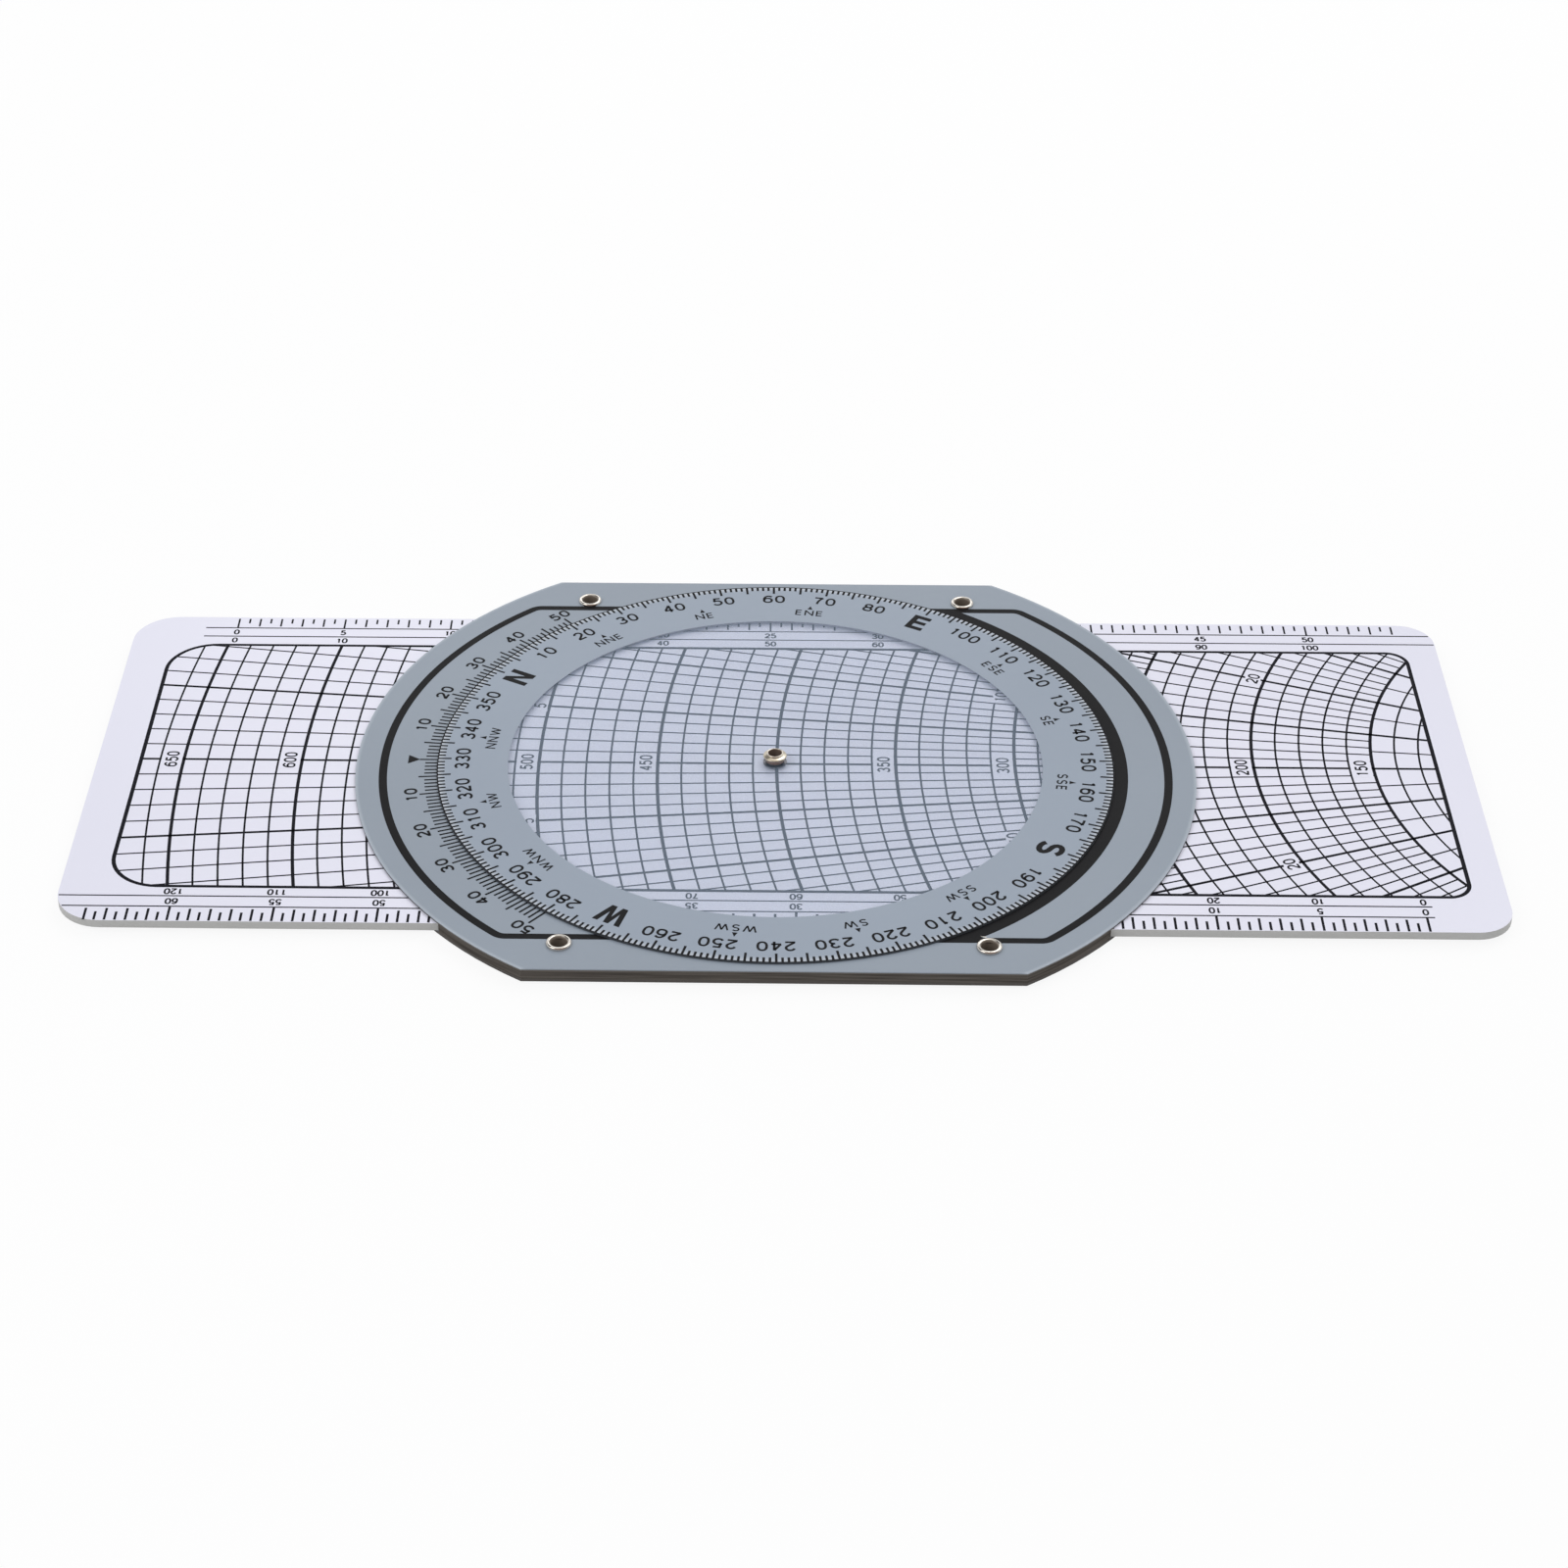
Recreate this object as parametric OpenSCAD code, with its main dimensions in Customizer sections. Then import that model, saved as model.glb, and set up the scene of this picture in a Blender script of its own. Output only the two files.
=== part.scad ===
// Flight computer: a slide card with a wind grid, held between two round plates.
// A clear azimuth disc turns on the wind side and a slide-rule disc on the back.
// All sizes are in millimetres. X runs along the slide, Y across it, Z is up.
// The origin is under the centre of the discs, in the plane the feet rest on.

/* [Slide card] */
// Length of the card along the slide
card_l = 224.4; // [190:0.2:240]
// Width of the card between its scale edges
card_w = 89.8; // [80:0.1:96]
// Thickness of the card
card_t = 1.35; // [0.8:0.05:1.6]
// Corner radius at the high-speed end
card_left_corner_r = 7.5; // [3:0.5:12]
// Corner radius at the low-speed end
card_right_corner_r = 6; // [3:0.5:12]
// How far the middle of the card lies from the disc centre at rest
card_rest_x = 1.1; // [-10:0.1:10]
// Gap between a card edge and its spacer, each side
card_side_play = 0.25; // [0.1:0.05:0.6]
// Gap between a card face and its plate, each side
card_face_play = 0.05; // [0.03:0.01:0.1]

/* [Frame] */
// Width of plate that shows outside the azimuth disc
frame_rim_w = 13.2; // [10:0.1:18]
// Width of each spacer from the slot to the flat of the frame
spacer_w = 11.7; // [10:0.1:15]
// Thickness of the wind-side plate
wind_plate_t = 0.4; // [0.35:0.05:0.8]
// Thickness of the calculator-side plate
calculator_plate_t = 0.5; // [0.4:0.05:0.8]

/* [Corner eyelets] */
// Bore radius of a corner eyelet
eyelet_bore_r = 1.25; // [0.8:0.05:1.6]
// Wall of an eyelet barrel
eyelet_wall = 0.15; // [0.1:0.05:0.3]
// Radius of the rolled rim on the wind side
eyelet_rim_r = 1.97; // [1.9:0.01:2.4]
// Height of the rolled rim over the plate
eyelet_rim_h = 0.48; // [0.44:0.01:0.6]
// Radius with which the bore opens out like a bell inside the rim
eyelet_bell_r = 0.4; // [0.3:0.01:0.41]
// Radius with which the rim curls down outside
eyelet_curl_r = 0.3; // [0.2:0.01:0.31]
// Radius of the flat foot on the calculator side
eyelet_foot_r = 2.3; // [2:0.1:3]
// Edge radius of the foot
eyelet_foot_edge_r = 0.2; // [0.1:0.05:0.25]
// Distance of an eyelet centre from the card slot
eyelet_inset = 5.3; // [3.5:0.1:6.5]
// Gap between the azimuth disc and an eyelet rim
eyelet_to_disc = 2.9; // [1.5:0.1:4]
// Clearance of an eyelet barrel in its sheets
eyelet_play = 0.05; // [0.03:0.01:0.1]

/* [Azimuth disc] */
// Radius of the azimuth disc
azimuth_r = 55.2; // [52:0.1:60]
// Thickness of the azimuth disc
azimuth_t = 0.3; // [0.25:0.05:0.6]
// How far the azimuth disc overlaps the plate round its opening
azimuth_overlap = 7.2; // [6:0.2:9]
// Width of the hub ring that centres the disc in the opening
hub_ring_w = 3.7; // [2:0.1:5]
// Radial clearance of the hub ring in the opening
hub_play = 0.08; // [0.03:0.01:0.1]
// How far the retainer reaches under the plate
retainer_reach = 2.4; // [2:0.1:4.5]
// Thickness of the retainer
retainer_t = 0.12; // [0.1:0.01:0.15]
// Gap round the retainer in its recess
retainer_play = 0.4; // [0.3:0.05:0.6]
// Running gap between the flat faces that turn on each other
face_play = 0.02; // [0.01:0.01:0.04]

/* [Azimuth grommet] */
// Bore radius of the centre grommet
grommet_bore_r = 1.1; // [0.8:0.05:1.3]
// Wall of the grommet barrel
grommet_wall = 0.12; // [0.1:0.01:0.2]
// Radius of the wire-like lip rolled over the washer
grommet_lip_r = 0.13; // [0.12:0.01:0.2]
// Thickness of the flange under the disc
grommet_flange_t = 0.2; // [0.15:0.01:0.25]
// Radius of the flange and of the washer on top
grommet_flange_r = 1.93; // [1.9:0.01:2.2]
// Radius of the washer's rounded edge
washer_edge_r = 0.2; // [0.1:0.01:0.2]
// Height of the middle of that edge over the disc
washer_lift = 0.83; // [0.3:0.01:0.9]
// Slope of the washer from its top down to its edge, in degrees
washer_slope = 20; // [15:1:50]
// Width of the washer's flat top, where the lip rests
washer_top_w = 0.1; // [0.06:0.01:0.15]
// Wall of the neck under the washer
washer_neck_wall = 0.25; // [0.15:0.05:0.3]

/* [Calculator disc] */
// Radius of the calculator disc
calculator_r = 52; // [45:0.5:56]
// Thickness of the calculator disc
calculator_t = 0.3; // [0.25:0.05:0.5]
// Bore radius of the pivot eyelet
pivot_bore_r = 1.6; // [1.2:0.1:2]
// Wall of the pivot eyelet
pivot_wall = 0.2; // [0.15:0.05:0.3]
// Radial running clearance of the calculator disc on its pivot
pivot_play = 0.05; // [0.03:0.01:0.1]
// Radius of the pivot flange on the outside
pivot_flange_r = 3.4; // [3:0.1:5]
// Thickness of the pivot flange
pivot_flange_t = 0.18; // [0.15:0.01:0.3]
// Radius of the pivot washer inside the calculator plate
pivot_washer_r = 3.1; // [2.9:0.1:4.5]
// Thickness of the pivot washer
pivot_washer_t = 0.1; // [0.08:0.01:0.11]
// Thickness of the clinched end that holds the washer
pivot_clinch_t = 0.12; // [0.1:0.01:0.13]
// How far the clinched end reaches over the washer
pivot_clinch_reach = 0.9; // [0.6:0.05:1]
// Gap round the pivot washer in its recess
pivot_recess_play = 0.3; // [0.1:0.05:0.6]

/* [Calculator windows] */
// Height of the three reading windows
window_h = 4.6; // [3:0.2:5]
// Radius of the middle of the outer pair of windows
outer_window_r = 29; // [25:0.5:34]
// Sweep of each outer window in degrees
outer_window_sweep = 38; // [20:1:40]
// Direction of the first outer window in degrees
first_window_at = 135; // [100:5:170]
// Direction of the second outer window in degrees
second_window_at = 45; // [10:5:80]
// Radius of the middle of the inner window
inner_window_r = 20; // [16:0.5:22]
// Sweep of the inner window in degrees
inner_window_sweep = 52; // [20:1:56]
// Direction of the inner window in degrees
inner_window_at = 270; // [230:5:310]

/* [Hidden] */
$fn = 96;
// Overshoot of every cutter past the face that it cuts
cut = 0.1;
// Depth left under the calculator side so that the feet touch first
foot_lead = 0.03;
// Depth left over the clinched end so that it stays below the slot floor
clinch_lead = 0.03;
// Gap left where the rolled lip lies on the washer
lip_gap = 0.01;

// The card slot
slot_w = card_w + 2 * card_side_play;
slot_h = card_t + 2 * card_face_play;

// Heights, from the feet up
foot_h = foot_lead + pivot_flange_t + face_play + calculator_t + face_play;
calculator_plate_z = foot_h;
slot_z = calculator_plate_z + calculator_plate_t;
wind_plate_z = slot_z + slot_h;
wind_top_z = wind_plate_z + wind_plate_t;
azimuth_z = wind_top_z + face_play;
azimuth_top_z = azimuth_z + azimuth_t;
calculator_disc_z = foot_lead + pivot_flange_t + face_play;

// The frame outline
frame_r = azimuth_r + frame_rim_w;
frame_flats = slot_w + 2 * spacer_w;

// Places of the corner eyelets
eyelet_circle_r = azimuth_r + eyelet_to_disc + eyelet_rim_r;
eyelet_y = slot_w / 2 + eyelet_inset;
eyelet_x = sqrt(pow(eyelet_circle_r, 2) - pow(eyelet_y, 2));
eyelet_hole_r = eyelet_bore_r + eyelet_wall + eyelet_play;
// Height inside the foot at which the barrel starts
barrel_z = foot_h / 2;

// The azimuth bearing: a hub ring in the opening, and a retainer in a recess below it
opening_r = azimuth_r - azimuth_overlap;
hub_outer_r = opening_r - hub_play;
hub_inner_r = hub_outer_r - hub_ring_w;
retainer_z = wind_plate_z + face_play / 2;
retainer_r = opening_r + retainer_reach;
recess_r = retainer_r + retainer_play;
recess_h = face_play / 2 + retainer_t + face_play;
hub_z = retainer_z + retainer_t;

// The centre grommet
grommet_barrel_r = grommet_bore_r + grommet_wall;
grommet_hole_r = grommet_barrel_r + eyelet_play;
washer_neck_r = grommet_hole_r + washer_neck_wall;
washer_top_r = grommet_hole_r + washer_top_w;
washer_edge_mid_r = grommet_flange_r - washer_edge_r;
washer_edge_z = azimuth_top_z + washer_lift;
washer_rise = (washer_edge_r + (washer_edge_mid_r - washer_top_r) * sin(washer_slope))
    / cos(washer_slope);
washer_top_z = washer_edge_z + washer_rise;
grommet_lip_z = washer_top_z + lip_gap + grommet_lip_r;

// The calculator pivot
pivot_barrel_r = pivot_bore_r + pivot_wall;
pivot_hole_r = pivot_barrel_r + pivot_play;
pivot_recess_h = pivot_washer_t + pivot_clinch_t + clinch_lead;
pivot_recess_r = pivot_washer_r + pivot_recess_play;

// Plan of both plates: a circle cut off by two flats
module frame_plan() {
    intersection() {
        circle(r = frame_r);
        square([2 * frame_r + 1, frame_flats], center = true);
    }
}

// The four eyelet holes, cut through a sheet that starts at height z
module eyelet_holes(z, t) {
    for (sx = [-1, 1], sy = [-1, 1])
        translate([sx * eyelet_x, sy * eyelet_y, z - cut])
            cylinder(r = eyelet_hole_r, h = t + 2 * cut);
}

// Flat ring with square edges
module flat_ring(inner_r, outer_r, t) {
    difference() {
        cylinder(r = outer_r, h = t);
        translate([0, 0, -cut]) cylinder(r = inner_r, h = t + 2 * cut);
    }
}

// Square corner outside a quarter circle, for rounding a corner at the origin
module corner_waste(r) {
    difference() {
        translate([-cut, -cut]) square(r + cut);
        translate([r, r]) circle(r = r);
    }
}

// Plan of the card, with its two corner radii
module card_plan() {
    difference() {
        translate([-card_l / 2, -card_w / 2]) square([card_l, card_w]);
        for (sy = [0, 1]) mirror([0, sy]) {
            translate([-card_l / 2, -card_w / 2]) corner_waste(card_left_corner_r);
            mirror([1, 0]) translate([-card_l / 2, -card_w / 2])
                corner_waste(card_right_corner_r);
        }
    }
}

module slide_card() {
    color("#e2e2f0")
        translate([card_rest_x, 0, slot_z + card_face_play])
            linear_extrude(card_t) card_plan();
}

// Front sheet: its opening takes the hub ring, the recess below takes the retainer
module wind_plate() {
    color("#98a3af") difference() {
        translate([0, 0, wind_plate_z]) linear_extrude(wind_plate_t) frame_plan();
        translate([0, 0, wind_plate_z - cut])
            cylinder(r = opening_r, h = wind_plate_t + 2 * cut);
        translate([0, 0, wind_plate_z - cut])
            cylinder(r = recess_r, h = recess_h + cut);
        eyelet_holes(wind_plate_z, wind_plate_t);
    }
}

// Back sheet: carries the pivot, with a shallow recess on the slot side
module calculator_plate() {
    color("#98a3af") difference() {
        translate([0, 0, calculator_plate_z])
            linear_extrude(calculator_plate_t) frame_plan();
        translate([0, 0, calculator_plate_z - cut])
            cylinder(r = pivot_hole_r, h = calculator_plate_t + 2 * cut);
        translate([0, 0, slot_z - pivot_recess_h])
            cylinder(r = pivot_recess_r, h = pivot_recess_h + cut);
        eyelet_holes(calculator_plate_z, calculator_plate_t);
    }
}

// Segment of fibre board between the plates, which guides one edge of the card
module spacer(side) {
    color("#4a423e") difference() {
        translate([0, 0, slot_z]) linear_extrude(slot_h) intersection() {
            frame_plan();
            translate([-frame_r, side > 0 ? slot_w / 2 : -frame_r])
                square([2 * frame_r, frame_r - slot_w / 2]);
        }
        eyelet_holes(slot_z, slot_h);
    }
}

module far_spacer() { spacer(1); }

module near_spacer() { spacer(-1); }

// Section of the rolled rim: a wide bell inside, a tighter curl outside
module rim_section() {
    translate([0, wind_top_z]) difference() {
        translate([eyelet_bore_r, 0]) square([eyelet_rim_r - eyelet_bore_r, eyelet_rim_h]);
        translate([eyelet_bore_r, eyelet_rim_h]) mirror([0, 1]) corner_waste(eyelet_bell_r);
        translate([eyelet_rim_r, eyelet_rim_h]) rotate(180) corner_waste(eyelet_curl_r);
    }
}

// Section of the foot: flat below, with a rounded outer edge
module foot_section() {
    edge = eyelet_foot_edge_r;
    translate([eyelet_bore_r, 0])
        square([eyelet_foot_r - eyelet_bore_r - edge, foot_h]);
    translate([eyelet_bore_r, edge])
        square([eyelet_foot_r - eyelet_bore_r, foot_h - edge]);
    translate([eyelet_foot_r - edge, edge]) circle(r = edge, $fn = 48);
}

// One eyelet clinches the plates and a spacer, foot below and rolled rim above
module frame_eyelet(sx, sy) {
    color("#b9b2a6") translate([sx * eyelet_x, sy * eyelet_y, 0])
        rotate_extrude() {
            foot_section();
            translate([eyelet_bore_r, barrel_z])
                square([eyelet_wall, wind_top_z - barrel_z]);
            rim_section();
        }
}

module frame_eyelet_far_left() { frame_eyelet(-1, 1); }

module frame_eyelet_far_right() { frame_eyelet(1, 1); }

module frame_eyelet_near_left() { frame_eyelet(-1, -1); }

module frame_eyelet_near_right() { frame_eyelet(1, -1); }

// Clear sheet that carries the compass ring, frosted in the middle
module azimuth_disc() {
    color("#a4afba") translate([0, 0, azimuth_z])
        flat_ring(grommet_hole_r, azimuth_r, azimuth_t);
}

// Ring bonded under the disc, which turns in the opening of the wind plate
module azimuth_hub_ring() {
    color("#8b96a2") translate([0, 0, hub_z])
        flat_ring(hub_inner_r, hub_outer_r, azimuth_z - hub_z);
}

// Thin ring bonded under the hub ring, which keeps the disc from lifting off
module azimuth_retainer() {
    color("#8b96a2") translate([0, 0, retainer_z])
        flat_ring(hub_inner_r, retainer_r, retainer_t);
}

// Eyelet at the reading point: flange below the disc, lip rolled over the washer
module azimuth_grommet() {
    flange_z = azimuth_z - grommet_flange_t;
    color("#b9b2a6") rotate_extrude() {
        translate([grommet_bore_r, flange_z])
            square([grommet_flange_r - grommet_bore_r, grommet_flange_t]);
        translate([grommet_bore_r, flange_z])
            square([grommet_wall, grommet_lip_z - flange_z]);
        translate([grommet_bore_r + grommet_lip_r, grommet_lip_z])
            circle(r = grommet_lip_r, $fn = 48);
    }
}

// Washer between the disc and the rolled lip: a neck under a sloping, round-edged cap
module azimuth_grommet_washer() {
    color("#b3a078") rotate_extrude() {
        polygon([
            [grommet_hole_r, azimuth_top_z],
            [washer_neck_r, azimuth_top_z],
            [washer_neck_r, washer_edge_z - washer_edge_r],
            [washer_edge_mid_r, washer_edge_z - washer_edge_r],
            [washer_edge_mid_r, washer_edge_z],
            [washer_edge_mid_r + washer_edge_r * sin(washer_slope),
             washer_edge_z + washer_edge_r * cos(washer_slope)],
            [washer_top_r, washer_top_z],
            [grommet_hole_r, washer_top_z]
        ]);
        translate([washer_edge_mid_r, washer_edge_z]) circle(r = washer_edge_r, $fn = 48);
    }
}

// Cutter for one window: a piece of a ring, centred on a direction
module window_cut(mid_r, sweep, direction) {
    translate([0, 0, calculator_disc_z - cut])
        rotate([0, 0, direction - sweep / 2])
            rotate_extrude(angle = sweep)
                translate([mid_r - window_h / 2, 0])
                    square([window_h, calculator_t + 2 * cut]);
}

// Slide-rule disc with three windows that show scales on the plate behind it
module calculator_disc() {
    color("#a7b0ba") difference() {
        translate([0, 0, calculator_disc_z])
            flat_ring(pivot_hole_r, calculator_r, calculator_t);
        window_cut(outer_window_r, outer_window_sweep, first_window_at);
        window_cut(outer_window_r, outer_window_sweep, second_window_at);
        window_cut(inner_window_r, inner_window_sweep, inner_window_at);
    }
}

// Hollow rivet that the calculator disc turns on, clinched inside the back plate
module calculator_pivot_eyelet() {
    clinch_z = slot_z - clinch_lead - pivot_clinch_t;
    color("#b9b2a6") rotate_extrude() {
        translate([pivot_bore_r, foot_lead])
            square([pivot_flange_r - pivot_bore_r, pivot_flange_t]);
        translate([pivot_bore_r, foot_lead])
            square([pivot_wall, clinch_z + pivot_clinch_t - foot_lead]);
        translate([pivot_bore_r, clinch_z])
            square([pivot_wall + pivot_clinch_reach, pivot_clinch_t]);
    }
}

// Washer in the recess, between the plate and the clinched end
module calculator_pivot_washer() {
    color("#b3a078")
        translate([0, 0, slot_z - pivot_recess_h])
            flat_ring(pivot_hole_r, pivot_washer_r, pivot_washer_t);
}

slide_card();
wind_plate();
calculator_plate();
far_spacer();
near_spacer();
frame_eyelet_far_left();
frame_eyelet_far_right();
frame_eyelet_near_left();
frame_eyelet_near_right();
azimuth_disc();
azimuth_hub_ring();
azimuth_retainer();
azimuth_grommet();
azimuth_grommet_washer();
calculator_disc();
calculator_pivot_eyelet();
calculator_pivot_washer();
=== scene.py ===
import bpy
from math import asin, atan2, cos, degrees, log10, pi, radians, sin, sqrt
from mathutils import Matrix


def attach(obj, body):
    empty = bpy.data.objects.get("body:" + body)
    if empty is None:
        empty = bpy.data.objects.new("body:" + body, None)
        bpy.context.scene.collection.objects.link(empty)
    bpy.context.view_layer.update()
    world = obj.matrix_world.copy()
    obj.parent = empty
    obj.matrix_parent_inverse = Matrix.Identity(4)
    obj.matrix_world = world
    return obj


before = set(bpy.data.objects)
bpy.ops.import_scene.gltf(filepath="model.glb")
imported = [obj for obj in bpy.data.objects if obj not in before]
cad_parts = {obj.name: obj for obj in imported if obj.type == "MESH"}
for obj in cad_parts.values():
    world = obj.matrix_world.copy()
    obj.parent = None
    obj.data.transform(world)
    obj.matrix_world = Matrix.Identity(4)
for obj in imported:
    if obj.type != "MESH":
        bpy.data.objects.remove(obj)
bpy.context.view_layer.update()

# The table and the light.
# A plain white sweep in a bright tent, with a large soft box behind on the right,
# one at the left and a small one behind. What shines also sees the darker room
# behind the camera, which stands low at the long side of the card.
MM = 0.001
scene = bpy.context.scene
scene.view_settings.view_transform = "Standard"

bpy.ops.object.select_all(action="DESELECT")
bpy.ops.mesh.primitive_grid_add(x_subdivisions=24, y_subdivisions=24, size=6)
table = bpy.context.object
table.name = "table"
table_paper = bpy.data.materials.new("table_paper")
table_paper.use_nodes = True
nodes, links = table_paper.node_tree.nodes, table_paper.node_tree.links
nodes["Principled BSDF"].inputs["Base Color"].default_value = (0.86, 0.86, 0.87, 1)
nodes["Principled BSDF"].inputs["Roughness"].default_value = 0.9
nodes["Principled BSDF"].inputs["Specular IOR Level"].default_value = 0.1
white = nodes.new("ShaderNodeEmission")
seen = nodes.new("ShaderNodeLightPath")
share = nodes.new("ShaderNodeMath")
share.operation = "MULTIPLY"
share.inputs[1].default_value = 0.9
mixed = nodes.new("ShaderNodeMixShader")
links.new(seen.outputs["Is Camera Ray"], share.inputs[0])
links.new(share.outputs[0], mixed.inputs["Fac"])
links.new(nodes["Principled BSDF"].outputs[0], mixed.inputs[1])
links.new(white.outputs[0], mixed.inputs[2])
links.new(mixed.outputs[0], nodes["Material Output"].inputs["Surface"])
table.data.materials.append(table_paper)

tent = bpy.data.worlds.new("tent")
scene.world = tent
tent.use_nodes = True
nodes, links = tent.node_tree.nodes, tent.node_tree.links
nodes["Background"].inputs["Color"].default_value = (1, 1, 1, 1)
nodes["Background"].inputs["Strength"].default_value = 0.66
backdrop = nodes.new("ShaderNodeBackground")
backdrop.inputs["Strength"].default_value = 1
way = nodes.new("ShaderNodeTexCoord")
split = nodes.new("ShaderNodeSeparateXYZ")
shade = nodes.new("ShaderNodeValToRGB")
shade.color_ramp.elements[0].position = 0.1
shade.color_ramp.elements[0].color = (1, 1, 1, 1)
shade.color_ramp.elements[1].position = 0.92
shade.color_ramp.elements[1].color = (1, 1, 1, 1)
for height, grey in ((0.28, 0.3), (0.4, 0.95), (0.48, 0.95), (0.6, 0.14), (0.8, 0.14)):
    shade.color_ramp.elements.new(height).color = (grey, grey, grey * 1.04, 1)
nearer = nodes.new("ShaderNodeMapRange")
nearer.inputs["From Min"].default_value = -0.08
nearer.inputs["From Max"].default_value = -0.4
room = nodes.new("ShaderNodeMix")
room.data_type = "RGBA"
room.inputs["B"].default_value = (0.24, 0.17, 0.15, 1)
plain = nodes.new("ShaderNodeMix")
plain.data_type = "RGBA"
plain.inputs["B"].default_value = (1, 1, 1, 1)
seen = nodes.new("ShaderNodeLightPath")
mixed = nodes.new("ShaderNodeMixShader")
either = nodes.new("ShaderNodeMath")
either.operation = "MAXIMUM"
either_too = nodes.new("ShaderNodeMath")
either_too.operation = "MAXIMUM"
links.new(way.outputs["Generated"], split.inputs[0])
links.new(split.outputs["Z"], shade.inputs["Fac"])
links.new(split.outputs["Y"], nearer.inputs["Value"])
links.new(nearer.outputs["Result"], room.inputs["Factor"])
links.new(shade.outputs["Color"], room.inputs["A"])
links.new(room.outputs["Result"], plain.inputs["A"])
links.new(seen.outputs["Is Camera Ray"], plain.inputs["Factor"])
links.new(plain.outputs["Result"], backdrop.inputs["Color"])
links.new(seen.outputs["Is Camera Ray"], either.inputs[0])
links.new(seen.outputs["Is Glossy Ray"], either.inputs[1])
links.new(either.outputs[0], either_too.inputs[0])
links.new(seen.outputs["Is Transmission Ray"], either_too.inputs[1])
links.new(either_too.outputs[0], mixed.inputs["Fac"])
links.new(nodes["Background"].outputs[0], mixed.inputs[1])
links.new(backdrop.outputs[0], mixed.inputs[2])
links.new(mixed.outputs[0], nodes["World Output"].inputs["Surface"])

bpy.ops.object.light_add(type="AREA", location=(0.45, 0.5, 0.9))
soft_box = bpy.context.object
soft_box.name = "soft_box"
soft_box.data.size = 0.7
soft_box.data.energy = 3.3
soft_box.rotation_euler = (radians(36.8), 0, radians(138))
bpy.ops.object.light_add(type="AREA", location=(-0.7, -0.35, 0.7))
side_box = bpy.context.object
side_box.name = "side_box"
side_box.data.size = 0.6
side_box.data.energy = 2.4
side_box.rotation_euler = (radians(48.2), 0, radians(-63.4))
bpy.ops.object.light_add(type="AREA", location=(-0.05, 0.62, 0.36))
back_box = bpy.context.object
back_box.name = "back_box"
back_box.data.size = 0.35
back_box.data.energy = 0.38
back_box.rotation_euler = (radians(-60), 0, 0)

bpy.ops.object.camera_add(location=(-0.78 * MM, -474.29 * MM, 317.29 * MM),
                          rotation=(radians(56.088), radians(0.259), radians(1.234)))
camera = bpy.context.object
camera.name = "camera"
camera.data.lens = 79.92
camera.data.sensor_width = 36
camera.data.shift_x = 0.0542
camera.data.clip_start = 0.01
scene.camera = camera


# The slide card.
# A white laminated card, printed on both faces with a wind grid and with map
# rulers along its edges. The cut edge shows the greyer core of the laminate.
CARD_TOP, CARD_UNDER = 2.45, 1.1
CARD_LEFT, CARD_RIGHT, CARD_EDGE = -111.1, 113.3, 44.9
CARD_MIDDLE = 1.1
FILM = 0.006


def finish(name, dark, light, blotch, rough, grain, relief, metal=0.0, gloss=0.5):
    """A surface whose colour drifts between two close shades, with a fine grain."""
    made = bpy.data.materials.new(name)
    made.use_nodes = True
    nodes, links = made.node_tree.nodes, made.node_tree.links
    skin = nodes["Principled BSDF"]
    skin.inputs["Metallic"].default_value = metal
    skin.inputs["Specular IOR Level"].default_value = gloss
    place = nodes.new("ShaderNodeTexCoord")
    drift = nodes.new("ShaderNodeTexNoise")
    drift.inputs["Scale"].default_value = blotch
    drift.inputs["Detail"].default_value = 4
    shades = nodes.new("ShaderNodeValToRGB")
    shades.color_ramp.elements[0].position = 0.3
    shades.color_ramp.elements[0].color = (*dark, 1)
    shades.color_ramp.elements[1].position = 0.7
    shades.color_ramp.elements[1].color = (*light, 1)
    tooth = nodes.new("ShaderNodeTexNoise")
    tooth.inputs["Scale"].default_value = grain
    tooth.inputs["Detail"].default_value = 3
    spread = nodes.new("ShaderNodeMapRange")
    spread.inputs["To Min"].default_value = rough - 0.06
    spread.inputs["To Max"].default_value = rough + 0.06
    bump = nodes.new("ShaderNodeBump")
    bump.inputs["Strength"].default_value = 0.4
    bump.inputs["Distance"].default_value = relief * MM
    links.new(place.outputs["Object"], drift.inputs["Vector"])
    links.new(drift.outputs["Fac"], shades.inputs["Fac"])
    links.new(shades.outputs["Color"], skin.inputs["Base Color"])
    links.new(place.outputs["Object"], tooth.inputs["Vector"])
    links.new(tooth.outputs["Fac"], spread.inputs["Value"])
    links.new(spread.outputs["Result"], skin.inputs["Roughness"])
    links.new(tooth.outputs["Fac"], bump.inputs["Height"])
    links.new(bump.outputs["Normal"], skin.inputs["Normal"])
    return made


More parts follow.
